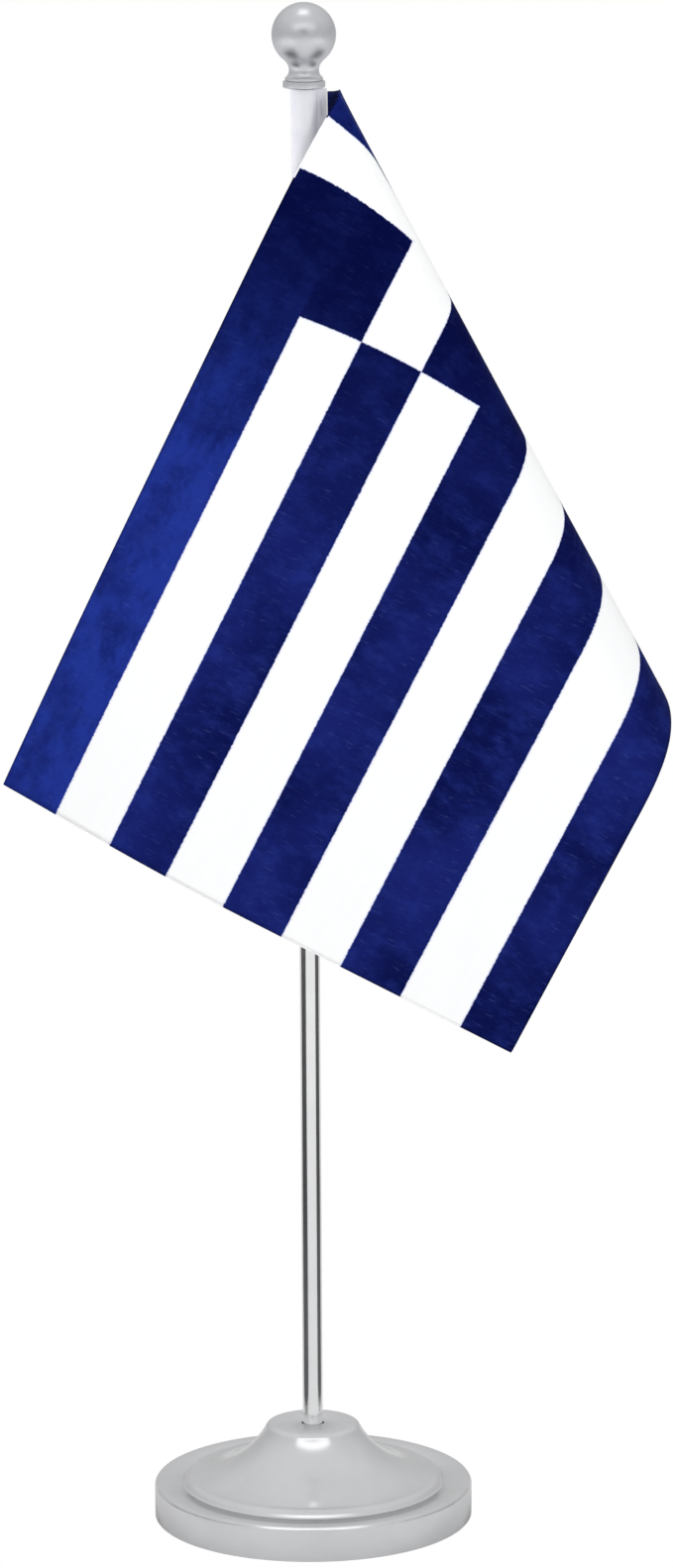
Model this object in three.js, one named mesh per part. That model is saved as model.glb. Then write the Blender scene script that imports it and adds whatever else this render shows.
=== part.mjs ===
// A desk flag stand: a plated pressed base with a hidden ballast, a thin plated pole with a ball finial,
// and a small flag whose sleeve turns freely round the pole. Millimetres, +Z up, origin at the middle
// of the underside.
import * as THREE from "three";

// ---- driving dimensions -------------------------------------------------------------------------
const gap = 0.3; // between pieces that touch on the real stand
const threadGap = 0.15; // radial, round each screw thread

const baseRadius = 38.3;
const rimHeight = 9.1; // from the table to the top of the outer rim
const rimCorner = 0.8; // rounding of the rim's outer edge
const plateRadius = 30.3; // raised inner plate
const plateHeight = 10.7;
const flareRadius = 28.6; // where the hub's flare meets the plate
const hubRadius = 11.4; // at the hub's shoulder
const hubHeight = 23.6;
const shoulder = 1.4; // rounding of the hub's shoulder
const shellWall = 0.8;
const skirtLift = 0.6; // the shell's lower edge stays this far above the table

const padThickness = 1.6;
const coverThickness = 0.8;
const weightFloor = 3.1; // underside of the ballast
const weightBossHeight = 17.4;
const weightBossRadius = 9.4;
const recessRadius = 8.0; // pocket under the ballast for the nut
const recessHeight = 6.4;

const bushRadius = 3.0;
const bushFlangeRadius = 5.0;
const bushFlangeHeight = 2.2;
const washerRadius = 6.2;
const washerThickness = 1.0;
const lockWasherRadius = 5.0;
const lockWasherThickness = 1.4;
const lockWasherSplit = 0.8;
const nutAcrossFlats = 10.0;
const nutHeight = 2.6;

const poleRadius = 2.4;
const poleWall = 0.5;
const poleTop = 346.0;
const studRadius = 1.5; // thread under the pole
const studPlugLength = 12.0; // plain length pressed into the pole
const studThreadLength = 13.0;
const topInsertLength = 10.0;
const finialThreadRadius = 1.0;
const finialStudLength = 13.0;

const collarRadius = 4.95;
const collarThickness = 1.6;
const neckFootRadius = 4.45;
const neckRadius = 3.5; // narrowest
const neckLength = 5.0; // from the collar to where the ball begins
const ballRadius = 7.5;
const ballSeatRadius = 5.2; // of the circle in which the ball meets the neck

const stripe = 15.56; // width of one stripe
const flagLength = 13.5 * stripe;
const flagDrop = 8.83 * stripe; // the lowest stripe is narrowed by its hem
const clothThickness = 1.0;
const sleeveSlack = 0.3; // radial, round the pole
const sleeveThickness = 0.4;
const sleeveBore = poleRadius + sleeveSlack;
const sleeveRadius = sleeveBore + sleeveThickness;
const seamTabLength = 2.3;
const seamTabReach = sleeveRadius + seamTabLength; // from the pole's axis to the sewn edge of the sleeve
const seamTabThickness = 0.9;
const stopRingThickness = 1.2; // rubber ring under the sleeve

// How the cloth hangs. A list holds the constant, linear and square terms of a value that changes
// from the top edge of the cloth to its bottom edge.
const foldDip = THREE.MathUtils.degToRad(62.3); // slope of the rolled fold, below the horizontal
const foldTop = [7.9, -0.2]; // x of the fold at the top edge, and its z from the top of the sleeve
const foldRun = [0, 161, 5]; // way down the fold line
const bendRadius = [1.6, 9.0, 5.8]; // of the roll
const backReach = [1.6, 5.6, 0]; // cloth between seam and fold, in stripes
const fallAngle = [26.5, 1.2, 0]; // slope of the front layer off the vertical, in degrees
const curlStart = -12; // x from which the free side of the front layer curls back
const curlRadius = 150;
const frontGap = 1.9; // from the sleeve to the middle of the front layer
const frontClearance = sleeveRadius + frontGap; // from the pole's axis
const seamExit = THREE.MathUtils.degToRad(62); // direction in which the cloth leaves the seam
const levelShare = 0.15; // share of the seam over which the roll comes level with the top edge
const clothColumns = [14, 6, 9]; // facets of the hidden layer, the roll and the front layer
const clothRows = 14;

// ---- small helpers ------------------------------------------------------------------------------
const fine = 60; // facets round the base
const coarse = 36; // facets round slim pieces

function material(color, roughness, metalness) {
  return new THREE.MeshStandardMaterial({ color, roughness, metalness });
}

function named(name, geometry, surface) {
  const mesh = new THREE.Mesh(geometry, surface);
  mesh.name = name;
  return mesh;
}

// Twice the area that a profile encloses, positive when it runs the way a lathe needs.
function windingOf(points) {
  return points.reduce((sum, p, i) => {
    const q = points[(i + 1) % points.length];
    return sum + p.x * q.y - q.x * p.y;
  }, 0);
}

// Turns a profile of [radius, height] points round Z. The profile starts and ends on the axis,
// or is closed on itself here when it stands off the axis.
function turned(profile, facets) {
  const points = profile.map((p) => (p.isVector2 ? p.clone() : new THREE.Vector2(...p)));
  const closed = points.every((p) => p.x > 1e-6);
  if (windingOf(points) < 0) points.reverse();
  if (closed) points.push(points[0].clone());
  return new THREE.LatheGeometry(points, facets).rotateX(Math.PI / 2);
}

function ring(inner, outer, low, high, facets = coarse) {
  return turned([[inner, low], [outer, low], [outer, high], [inner, high]], facets);
}

function rod(radius, low, high, facets = coarse) {
  return turned([[0, low], [radius, low], [radius, high], [0, high]], facets);
}

// Each point of an open outline moved sideways by a distance, to the right of its direction.
function offset(points, distance) {
  return points.map((p, i) => {
    const before = points[Math.max(i - 1, 0)];
    const after = points[Math.min(i + 1, points.length - 1)];
    const along = after.clone().sub(before).normalize();
    return new THREE.Vector2(p.x + along.y * distance, p.y - along.x * distance);
  });
}

// ---- base ---------------------------------------------------------------------------------------
const poleHoleRadius = poleRadius + gap;

// The shell's outer outline from the skirt up over rim, plate and flare to the hole for the pole.
function shellOutline() {
  const path = new THREE.Path();
  path.moveTo(baseRadius, skirtLift);
  path.lineTo(baseRadius, rimHeight - rimCorner);
  path.absarc(baseRadius - rimCorner, rimHeight - rimCorner, rimCorner, 0, Math.PI / 2, false);
  path.lineTo(plateRadius + 1.3, rimHeight);
  path.bezierCurveTo(plateRadius + 0.5, rimHeight, plateRadius + 0.7, plateHeight, plateRadius - 0.4, plateHeight);
  path.lineTo(flareRadius, plateHeight);
  const flareTop = hubHeight - shoulder * 0.75;
  path.bezierCurveTo(
    flareRadius - 9, plateHeight + 1.2, hubRadius + 2.2, hubHeight - 5.4, hubRadius, flareTop,
  );
  path.quadraticCurveTo(hubRadius - 0.5, hubHeight, hubRadius - shoulder * 1.6, hubHeight);
  path.lineTo(poleHoleRadius, hubHeight);
  return path.getPoints(5);
}

function baseShell() {
  const outside = shellOutline();
  const inside = offset(outside, -shellWall);
  inside[0].y = skirtLift;
  inside[inside.length - 1].x = poleHoleRadius;
  return turned([...outside, ...inside.reverse()], fine);
}

const coverRadius = baseRadius - shellWall - gap;

function basePad() {
  return rod(coverRadius - 1.0, 0, padThickness, fine);
}

function baseCover() {
  return rod(coverRadius, padThickness + gap, padThickness + gap + coverThickness, fine);
}

const weightShelf = rimHeight - shellWall - gap;
const weightStep = plateHeight - shellWall - gap;

// Cast ballast that fills the shell and rises into the hub, with a pocket below for the nut.
function baseWeight() {
  const bore = bushRadius + gap;
  const pocketTop = weightFloor + recessHeight;
  return turned(
    [
      [recessRadius, weightFloor],
      [coverRadius, weightFloor],
      [coverRadius, weightShelf],
      [plateRadius - 1.4, weightShelf],
      [plateRadius - 1.4, weightStep],
      [flareRadius - 4.6, weightStep],
      [weightBossRadius, weightBossHeight],
      [bore, weightBossHeight],
      [bore, pocketTop],
      [recessRadius, pocketTop],
    ],
    fine,
  );
}

const bushTop = weightBossHeight + gap + bushFlangeHeight;
const washerTop = weightFloor + recessHeight - gap;
const lockWasherTop = washerTop - washerThickness - gap;
const nutTop = lockWasherTop - lockWasherThickness - gap;
const bushFoot = nutTop - nutHeight;

// Threaded bush: its flange sits on the ballast and its stem goes down through the nut.
function hubBush() {
  const bore = studRadius + threadGap;
  return turned(
    [
      [bore, bushFoot],
      [bushRadius, bushFoot],
      [bushRadius, bushTop - bushFlangeHeight],
      [bushFlangeRadius, bushTop - bushFlangeHeight],
      [bushFlangeRadius, bushTop],
      [bore, bushTop],
    ],
    coarse,
  );
}

function flatWasher() {
  return ring(bushRadius + threadGap, washerRadius, washerTop - washerThickness, washerTop);
}

// Spring washer with its split, as an extruded open ring.
function lockWasher() {
  const shape = new THREE.Shape();
  const outer = lockWasherSplit / 2 / lockWasherRadius;
  const bore = bushRadius + threadGap;
  const inner = lockWasherSplit / 2 / bore;
  shape.absarc(0, 0, lockWasherRadius, outer, 2 * Math.PI - outer, false);
  shape.absarc(0, 0, bore, 2 * Math.PI - inner, inner, true);
  const solid = new THREE.ExtrudeGeometry(shape, {
    depth: lockWasherThickness, bevelEnabled: false, curveSegments: coarse,
  });
  return solid.translate(0, 0, lockWasherTop - lockWasherThickness);
}

function clampNut() {
  const shape = new THREE.Shape();
  const corner = nutAcrossFlats / 2 / Math.cos(Math.PI / 6);
  for (let i = 0; i < 6; i++) {
    const angle = (i * Math.PI) / 3;
    const place = [corner * Math.cos(angle), corner * Math.sin(angle)];
    if (i === 0) shape.moveTo(...place);
    else shape.lineTo(...place);
  }
  shape.closePath();
  const bore = new THREE.Path();
  bore.absarc(0, 0, bushRadius + threadGap, 0, 2 * Math.PI, true);
  shape.holes.push(bore);
  const solid = new THREE.ExtrudeGeometry(shape, {
    depth: nutHeight, bevelEnabled: false, curveSegments: coarse,
  });
  return solid.translate(0, 0, nutTop - nutHeight);
}

// ---- pole ---------------------------------------------------------------------------------------
const poleFoot = bushTop + gap;
const plugRadius = poleRadius - poleWall - gap;

function poleTube() {
  return ring(poleRadius - poleWall, poleRadius, poleFoot, poleTop);
}

// Steel stud: a plain plug inside the pole and a thread that screws into the bush.
function poleStud() {
  return turned(
    [
      [0, poleFoot - studThreadLength],
      [studRadius, poleFoot - studThreadLength],
      [studRadius, poleFoot],
      [plugRadius, poleFoot],
      [plugRadius, poleFoot + studPlugLength],
      [0, poleFoot + studPlugLength],
    ],
    coarse,
  );
}

function topInsert() {
  return ring(finialThreadRadius + threadGap, plugRadius, poleTop - topInsertLength, poleTop);
}

// ---- finial -------------------------------------------------------------------------------------
const collarFoot = poleTop + gap + 0.2;
const neckFoot = collarFoot + collarThickness + gap;
const neckTop = neckFoot + neckLength;
const ballCentre = neckTop + Math.sqrt(ballRadius ** 2 - ballSeatRadius ** 2);
const finialStudFoot = poleTop - topInsertLength + 1;
const finialStudTop = finialStudFoot + finialStudLength;

function finialCollar() {
  return ring(finialThreadRadius + gap, collarRadius, collarFoot, collarFoot + collarThickness);
}

function finialStud() {
  return rod(finialThreadRadius, finialStudFoot, finialStudTop, 24);
}

// Ball, waisted neck and a blind hole up the neck for the stud.
function finialBall() {
  const path = new THREE.Path();
  const bore = finialThreadRadius + threadGap;
  path.moveTo(0, finialStudTop + gap);
  path.lineTo(bore, finialStudTop + gap);
  path.lineTo(bore, neckFoot);
  path.lineTo(neckFootRadius, neckFoot);
  path.lineTo(neckFootRadius, neckFoot + 0.5);
  path.quadraticCurveTo(neckRadius, neckFoot + 0.9, neckRadius, neckFoot + 0.45 * neckLength);
  path.quadraticCurveTo(neckRadius, neckTop - 1.1, ballSeatRadius, neckTop);
  const seat = Math.atan2(neckTop - ballCentre, ballSeatRadius);
  const points = path.getPoints(5);
  const steps = 18;
  for (let i = 1; i <= steps; i++) {
    const angle = seat + ((Math.PI / 2 - seat) * i) / steps;
    const radius = i === steps ? 0 : ballRadius * Math.cos(angle);
    points.push(new THREE.Vector2(radius, ballCentre + ballRadius * Math.sin(angle)));
  }
  return turned(points, coarse);
}

// ---- flag ---------------------------------------------------------------------------------------
const sleeveTop = collarFoot - gap;
const sleeveFoot = sleeveTop - flagDrop;
const clothStart = seamTabReach + gap + clothThickness / 2;

// Cloth tube round the pole, with the sewn double edge that the flag hangs from.
function flagSleeve() {
  const shape = new THREE.Shape();
  const halfTab = seamTabThickness / 2;
  const rootAngle = Math.asin(halfTab / sleeveRadius);
  shape.absarc(0, 0, sleeveRadius, rootAngle, 2 * Math.PI - rootAngle, false);
  shape.lineTo(seamTabReach, -halfTab);
  shape.lineTo(seamTabReach, halfTab);
  shape.closePath();
  const bore = new THREE.Path();
  bore.absarc(0, 0, sleeveBore, 0, 2 * Math.PI, true);
  shape.holes.push(bore);
  const solid = new THREE.ExtrudeGeometry(shape, {
    depth: flagDrop, bevelEnabled: false, curveSegments: coarse,
  });
  return solid.translate(0, 0, sleeveFoot);
}

function stopRing() {
  const section = stopRingThickness / 2;
  const middle = poleRadius + gap + section;
  const points = [];
  for (let i = 0; i < 10; i++) {
    const angle = (i * Math.PI) / 5;
    const height = sleeveFoot - gap - section + section * Math.sin(angle);
    points.push(new THREE.Vector2(middle + section * Math.cos(angle), height));
  }
  return turned(points, coarse);
}

const alongFold = new THREE.Vector3(Math.cos(foldDip), 0, -Math.sin(foldDip));
const acrossFold = new THREE.Vector3(-Math.sin(foldDip), 0, -Math.cos(foldDip));
const forward = new THREE.Vector3(0, -1, 0);

function graded(terms, s) {
  return terms[0] + terms[1] * s + terms[2] * s * s;
}

// Everything that shapes one crosswise thread of the cloth, at a share s of the way down the seam.
function threadAt(s) {
  const radius = graded(bendRadius, s);
  const fall = THREE.MathUtils.degToRad(graded(fallAngle, s));
  const front = new THREE.Vector3(-Math.sin(fall), 0, -Math.cos(fall));
  const fold = new THREE.Vector3(foldTop[0], radius - frontClearance, sleeveTop + foldTop[1]);
  fold.addScaledVector(alongFold, graded(foldRun, s));
  return {
    radius,
    front,
    fold,
    along: front.dot(alongFold),
    across: front.dot(acrossFold),
    slope: s / (s + levelShare),
    back: graded(backReach, s) * stripe,
    seam: new THREE.Vector3(clothStart, 0, sleeveTop - flagDrop * s),
  };
}

// The thread's way from the seam round the back to the fold.
function hiddenCurve(thread, reach) {
  const leave = new THREE.Vector3(Math.cos(seamExit), Math.sin(seamExit), 0);
  const arrive = forward.clone().multiplyScalar(thread.across);
  arrive.addScaledVector(alongFold, thread.along * thread.slope).normalize();
  return new THREE.CubicBezierCurve3(
    thread.seam,
    thread.seam.clone().addScaledVector(leave, reach),
    thread.fold.clone().addScaledVector(arrive, -reach),
    thread.fold,
  );
}

// The hidden layer is as long as the cloth there: its reach is found by halving.
function backLayer(thread) {
  let low = 0;
  let high = thread.back * 2;
  for (let i = 0; i < 30; i++) {
    const reach = (low + high) / 2;
    if (hiddenCurve(thread, reach).getLength() < thread.back) low = reach;
    else high = reach;
  }
  return hiddenCurve(thread, low);
}

function rollLength(thread) {
  return (thread.radius * Math.PI) / 2 / thread.across;
}

// The free side of the front layer bends back round an upright axis, keeping its length.
function curled(point) {
  const reach = curlStart - point.x;
  if (reach <= 0) return point;
  const turn = reach / curlRadius;
  point.x = curlStart - curlRadius * Math.sin(turn);
  point.y += curlRadius * (1 - Math.cos(turn));
  return point;
}

// A point of the visible layer, at a length beyond the fold: first the roll, then straight.
function frontPoint(thread, length) {
  const rolled = Math.min(length, rollLength(thread));
  const turn = (rolled * thread.across) / thread.radius;
  const point = thread.fold
    .clone()
    .addScaledVector(alongFold, thread.along * rolled)
    .addScaledVector(acrossFold, thread.radius * (1 - Math.cos(turn)))
    .addScaledVector(forward, thread.radius * Math.sin(turn))
    .addScaledVector(thread.front, length - rolled);
  return curled(point);
}

// Middle surface of the cloth as rows of points from seam to fly. Its columns follow the fold.
function clothGrid() {
  const rows = [];
  const [hiddenSteps, rollSteps, frontSteps] = clothColumns;
  for (let j = 0; j <= clothRows; j++) {
    const thread = threadAt(j / clothRows);
    const roll = rollLength(thread);
    const straight = flagLength - thread.back - roll;
    const row = backLayer(thread).getSpacedPoints(hiddenSteps);
    for (let i = 1; i <= rollSteps; i++) row.push(frontPoint(thread, (roll * i) / rollSteps));
    for (let i = 1; i <= frontSteps; i++) row.push(frontPoint(thread, roll + (straight * i) / frontSteps));
    rows.push(row);
  }
  return rows;
}

function gridNormal(grid, j, i) {
  const last = grid[j].length - 1;
  const down = grid[Math.min(j + 1, clothRows)][i].clone().sub(grid[Math.max(j - 1, 0)][i]);
  const along = grid[j][Math.min(i + 1, last)].clone().sub(grid[j][Math.max(i - 1, 0)]);
  return down.cross(along).normalize();
}

// A closed sheet: both faces of the grid, half a thickness to each side, and the strip round it.
function flagCloth() {
  const grid = clothGrid();
  const columns = grid[0].length - 1;
  const positions = [];
  for (const side of [0.5, -0.5]) {
    for (let j = 0; j <= clothRows; j++) {
      for (let i = 0; i <= columns; i++) {
        const normal = gridNormal(grid, j, i).multiplyScalar(side * clothThickness);
        positions.push(...grid[j][i].clone().add(normal).toArray());
      }
    }
  }
  const width = columns + 1;
  const layer = width * (clothRows + 1);
  const index = [];
  const quad = (a, b, c, d) => index.push(a, b, c, a, c, d);
  for (let j = 0; j < clothRows; j++) {
    for (let i = 0; i < columns; i++) {
      const a = j * width + i;
      quad(a, a + width, a + width + 1, a + 1);
      quad(layer + a, layer + a + 1, layer + a + width + 1, layer + a + width);
    }
  }
  const rim = [];
  for (let i = 0; i < columns; i++) rim.push(i);
  for (let j = 0; j < clothRows; j++) rim.push(j * width + columns);
  for (let i = columns; i > 0; i--) rim.push(clothRows * width + i);
  for (let j = clothRows; j > 0; j--) rim.push(j * width);
  rim.forEach((a, k) => {
    const b = rim[(k + 1) % rim.length];
    quad(a, b, b + layer, a + layer);
  });
  const geometry = new THREE.BufferGeometry();
  geometry.setAttribute("position", new THREE.Float32BufferAttribute(positions, 3));
  geometry.setIndex(index);
  geometry.computeVertexNormals();
  return geometry;
}

// ---- assembly -----------------------------------------------------------------------------------
const chrome = () => material(0xc9cbd0, 0.12, 1);
const steel = () => material(0x9a9da2, 0.4, 1);
const brass = () => material(0xb5964f, 0.35, 1);
const iron = () => material(0x4b4c4f, 0.7, 0.6);
const rubber = () => material(0x1c1c1e, 0.8, 0);

const base = new THREE.Group();
base.add(
  named("base_shell", baseShell(), chrome()),
  named("base_pad", basePad(), material(0x20211f, 0.95, 0)),
  named("base_cover", baseCover(), steel()),
  named("base_weight", baseWeight(), iron()),
  named("hub_bush", hubBush(), brass()),
  named("flat_washer", flatWasher(), steel()),
  named("lock_washer", lockWasher(), steel()),
  named("clamp_nut", clampNut(), steel()),
);

const pole = new THREE.Group();
pole.add(
  named("pole_tube", poleTube(), chrome()),
  named("pole_stud", poleStud(), steel()),
  named("pole_top_insert", topInsert(), brass()),
  named("sleeve_stop_ring", stopRing(), rubber()),
);

const finial = new THREE.Group();
finial.add(
  named("finial_collar", finialCollar(), chrome()),
  named("finial_stud", finialStud(), steel()),
  named("finial_ball", finialBall(), chrome()),
);

const flag = new THREE.Group();
flag.add(
  named("flag_sleeve", flagSleeve(), material(0xe9e8ef, 0.85, 0)),
  named("flag_cloth", flagCloth(), material(0x16205e, 0.7, 0)),
);

const group = new THREE.Group();
group.add(base, pole, finial, flag);
export default group;
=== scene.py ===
# %% [markdown]
# # A small flag on a plated desk stand
# The stand has a pressed, plated base with a flared hub, a thin bright pole, a ball finial, and a cloth
# flag that hangs from a white sleeve. The metal parts are turned shapes, so they are made by turning an
# outline. The flag is one long roll of cloth, so it is made thread by thread from a formula.
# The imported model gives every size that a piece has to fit.

# %% Load the frame
import math

import bpy
import numpy as np
from mathutils import Matrix, Vector


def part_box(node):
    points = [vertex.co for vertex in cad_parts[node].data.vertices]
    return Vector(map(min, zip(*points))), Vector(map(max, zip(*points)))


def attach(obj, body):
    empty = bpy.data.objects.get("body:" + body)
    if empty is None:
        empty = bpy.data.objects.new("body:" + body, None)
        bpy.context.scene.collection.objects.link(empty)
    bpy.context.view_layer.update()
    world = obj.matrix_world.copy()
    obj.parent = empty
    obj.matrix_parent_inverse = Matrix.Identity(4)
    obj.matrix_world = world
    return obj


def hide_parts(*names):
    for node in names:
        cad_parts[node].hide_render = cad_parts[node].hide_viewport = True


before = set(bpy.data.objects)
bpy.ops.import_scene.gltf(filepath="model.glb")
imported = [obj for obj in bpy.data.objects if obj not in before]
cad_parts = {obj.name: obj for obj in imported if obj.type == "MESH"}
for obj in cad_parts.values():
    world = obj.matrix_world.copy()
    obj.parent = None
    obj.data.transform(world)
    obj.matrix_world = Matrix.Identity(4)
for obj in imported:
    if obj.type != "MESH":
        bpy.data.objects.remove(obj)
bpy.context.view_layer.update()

mm = 0.001
print("nodes in the frame:", len(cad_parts))

# %% [markdown]
# ## Camera
# The stand is seen from its front, from about 1.6 m away and half a metre above the desk, with a long lens
# so that the pole stays straight. The camera could be shifted to frame the object, but it is aimed
# instead, because other views keep the lens and turn the camera round the same aim.

# %% Camera
def add_camera(place, aim, lens, roll):
    data = bpy.data.cameras.new("view")
    data.sensor_fit, data.sensor_height = "VERTICAL", 36.0
    data.lens = lens
    data.clip_start, data.clip_end = 0.05, 30.0
    camera = bpy.data.objects.new("view", data)
    bpy.context.collection.objects.link(camera)
    turn = (aim - place).to_track_quat("-Z", "Y").to_matrix()
    turn = turn @ Matrix.Rotation(math.radians(roll), 3, "Z")
    camera.matrix_world = Matrix.Translation(place) @ turn.to_4x4()
    bpy.context.scene.camera = camera
    return camera

viewpoint, aim = Vector((0, -1.615, 0.5224)), Vector((0.0066, 0, 0.1811))
camera = add_camera(viewpoint, aim, lens=159.8, roll=-0.33)
print("camera", tuple(round(value, 3) for value in camera.location))

# %% [markdown]
# ## Shaping helpers
# Outlines are drawn in millimetres as pairs of radius and height. Straight runs need only their ends, and
# round stretches are arcs or Bezier curves. A turned piece could use a Screw modifier, but making the
# rings directly keeps the mesh clean and closes the poles with one point.

# %% Outlines
def arc(centre, radius, start, end, steps=10):
    angles = np.radians(np.linspace(start, end, steps + 1))
    return [(centre[0] + radius * math.cos(a), centre[1] + radius * math.sin(a)) for a in angles]

def bend(start, first, second, end, steps=14):
    shares = np.linspace(0, 1, steps + 1)
    weights = [((1 - t) ** 3, 3 * t * (1 - t) ** 2, 3 * t * t * (1 - t), t ** 3) for t in shares]
    return [
        tuple(sum(w * p[k] for w, p in zip(ws, (start, first, second, end))) for k in (0, 1))
        for ws in weights
    ]

def inset(outline, distance):
    """The outline moved sideways, to the left of its direction."""
    points = np.array(outline, float)
    along = np.gradient(points, axis=0)
    along /= np.linalg.norm(along, axis=1, keepdims=True)
    moved = points + distance * np.stack([-along[:, 1], along[:, 0]], axis=1)
    onward = np.sum(np.diff(moved, axis=0) * np.diff(points, axis=0), axis=1) > 0
    return [tuple(p) for p, kept in zip(moved, [True, *onward]) if kept]

print("a quarter turn has", len(arc((0, 0), 1, 0, 90)), "points")

# %% [markdown]
# Two makers of meshes follow. One turns a list of points and faces into a piece with a material and
# smooth shading that breaks at sharp corners. The other turns an outline round the pole's axis.

# %% Meshes
def new_piece(name, points, faces, material, sharp=35):
    mesh = bpy.data.meshes.new(name)
    mesh.from_pydata([tuple(p) for p in points], [], faces)
    mesh.validate()
    mesh.materials.append(material)
    mesh.shade_smooth()
    mesh.set_sharp_from_angle(angle=math.radians(sharp))
    piece = bpy.data.objects.new(name, mesh)
    bpy.context.collection.objects.link(piece)
    print(f"{name}: {len(mesh.vertices)} points")
    return piece

def turned(name, outline, material, around=160, sharp=35):
    """Turns an outline of (radius, height) in mm round the pole. It closes on itself off the axis."""
    outline = [p for i, p in enumerate(outline) if i == 0 or math.dist(p, outline[i - 1]) > 1e-4]
    points, rings = [], []
    for radius, height in outline:
        count = 1 if radius < 1e-6 else around
        rings.append(range(len(points), len(points) + count))
        for k in range(count):
            angle = 2 * math.pi * k / around
            points.append((radius * math.cos(angle) * mm, radius * math.sin(angle) * mm, height * mm))
    pairs = list(zip(rings, rings[1:]))
    if len(rings[0]) > 1 and len(rings[-1]) > 1:
        pairs.append((rings[-1], rings[0]))
    faces = []
    for low, high in pairs:
        for k in range(around):
            n = (k + 1) % around
            if len(low) == 1:
                faces.append((low[0], high[n], high[k]))
            elif len(high) == 1:
                faces.append((low[k], low[n], high[0]))
            else:
                faces.append((low[k], low[n], high[n], high[k]))
    return new_piece(name, points, faces, material, sharp)

print("1 mm is", mm, "m in the scene")

# %% [markdown]
# ## Effects that several finishes share
# Plated metal is never perfectly even: it carries a faint haze, wiping marks and fine scratches. All the
# metals use the same node group for that, with their own strengths. Cloth uses another group for its
# threads, which the sleeve, the flag and the sewing share. A group gives out masks and heights only,
# and each material decides what to do with them.

# %% Node helpers
class Tree:
    """Adds nodes to a node tree with few words, and links whatever is an output."""

    def __init__(self, tree):
        self.tree = tree

    def node(self, kind, settings=None, **inputs):
        made = self.tree.nodes.new(kind)
        for name, value in (settings or {}).items():
            setattr(made, name, value)
        for name, value in inputs.items():
            self.set(made, name.replace("_", " "), value)
        return made

    def set(self, node, name, value):
        numbered = name.startswith("in") and name[2:].isdigit()
        socket = node.inputs[int(name[2:]) if numbered else name]
        if isinstance(value, bpy.types.NodeSocket):
            self.tree.links.new(value, socket)
        else:
            socket.default_value = value

    def math(self, operation, first, second=0.0, third=0.0):
        made = self.node("ShaderNodeMath", {"operation": operation}, in0=first, in1=second, in2=third)
        return made.outputs[0]

    def mix(self, share, first, second):
        made = self.node("ShaderNodeMix", {"data_type": "RGBA"}, in0=share, in6=first, in7=second)
        return made.outputs[2]

    def noise(self, place, scale, detail=3.0, roughness=0.5):
        made = self.node(
            "ShaderNodeTexNoise", Vector=place, Scale=scale, Detail=detail, Roughness=roughness
        )
        return made.outputs["Fac"]

    def ramp(self, value, low, high, to_low=0.0, to_high=1.0, smooth=True):
        made = self.node(
            "ShaderNodeMapRange", {"interpolation_type": "SMOOTHSTEP" if smooth else "LINEAR"},
            in0=value, in1=low, in2=high, in3=to_low, in4=to_high,
        )
        return made.outputs[0]

    def stretch(self, place, scale):
        made = self.node("ShaderNodeMapping", Vector=place, Scale=scale)
        return made.outputs[0]

def new_group(name, inputs, outputs):
    group = bpy.data.node_groups.new(name, "ShaderNodeTree")
    for label, kind in inputs.items():
        group.interface.new_socket(label, in_out="INPUT", socket_type="NodeSocket" + kind)
    for label, kind in outputs.items():
        group.interface.new_socket(label, in_out="OUTPUT", socket_type="NodeSocket" + kind)
    given, result = group.nodes.new("NodeGroupInput"), group.nodes.new("NodeGroupOutput")
    print("node group", name, "takes", *inputs, "and gives", *outputs)
    return group, Tree(group), given.outputs, result

# %% [markdown]
# Handling leaves two marks on plate: a cloudy haze from fingers and polish, and fine lines from wiping
# it round the pole. Noise gives both. The lines are the same noise, squeezed in height.

# %% Handling marks on plated metal
handling, tree, given, result = new_group(
    "handling_marks", {"Place": "Vector", "Fineness": "Float"}, {"Haze": "Float", "Scratches": "Float"}
)
cloud = tree.noise(given["Place"], given["Fineness"], detail=4.0, roughness=0.6)
tree.set(result, "Haze", tree.ramp(cloud, 0.35, 0.72))
wiped = tree.stretch(given["Place"], (1.0, 1.0, 14.0))
lines = tree.noise(wiped, tree.math("MULTIPLY", given["Fineness"], 9.0), detail=5.0, roughness=0.7)
tree.set(result, "Scratches", tree.ramp(lines, 0.3, 0.7))

# %% [markdown]
# Woven threads cross over and under, which the product of two sine waves gives as a height. A stretched
# noise makes some threads thicker. The pattern runs over the flat cloth, in metres.

# %% Threads of a woven cloth
weave, tree, given, result = new_group(
    "woven_threads", {"Cloth": "Vector", "Threads": "Float"}, {"Height": "Float", "Slub": "Float"}
)
split = tree.node("ShaderNodeSeparateXYZ", Vector=given["Cloth"])
turns = tree.math("MULTIPLY", given["Threads"], 2 * math.pi)
weft = tree.math("SINE", tree.math("MULTIPLY", split.outputs["Y"], turns))
warp = tree.math("SINE", tree.math("MULTIPLY", split.outputs["X"], turns))
cross = tree.math("MULTIPLY_ADD", tree.math("MULTIPLY", weft, warp), 0.5, 0.5)
uneven = tree.noise(tree.stretch(given["Cloth"], (60.0, 900.0, 1.0)), 1.0, detail=4.0)
tree.set(result, "Height", tree.math("MULTIPLY_ADD", uneven, 0.35, cross))
tree.set(result, "Slub", tree.ramp(uneven, 0.3, 0.75))
print("node groups:", [group.name for group in bpy.data.node_groups])

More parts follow.
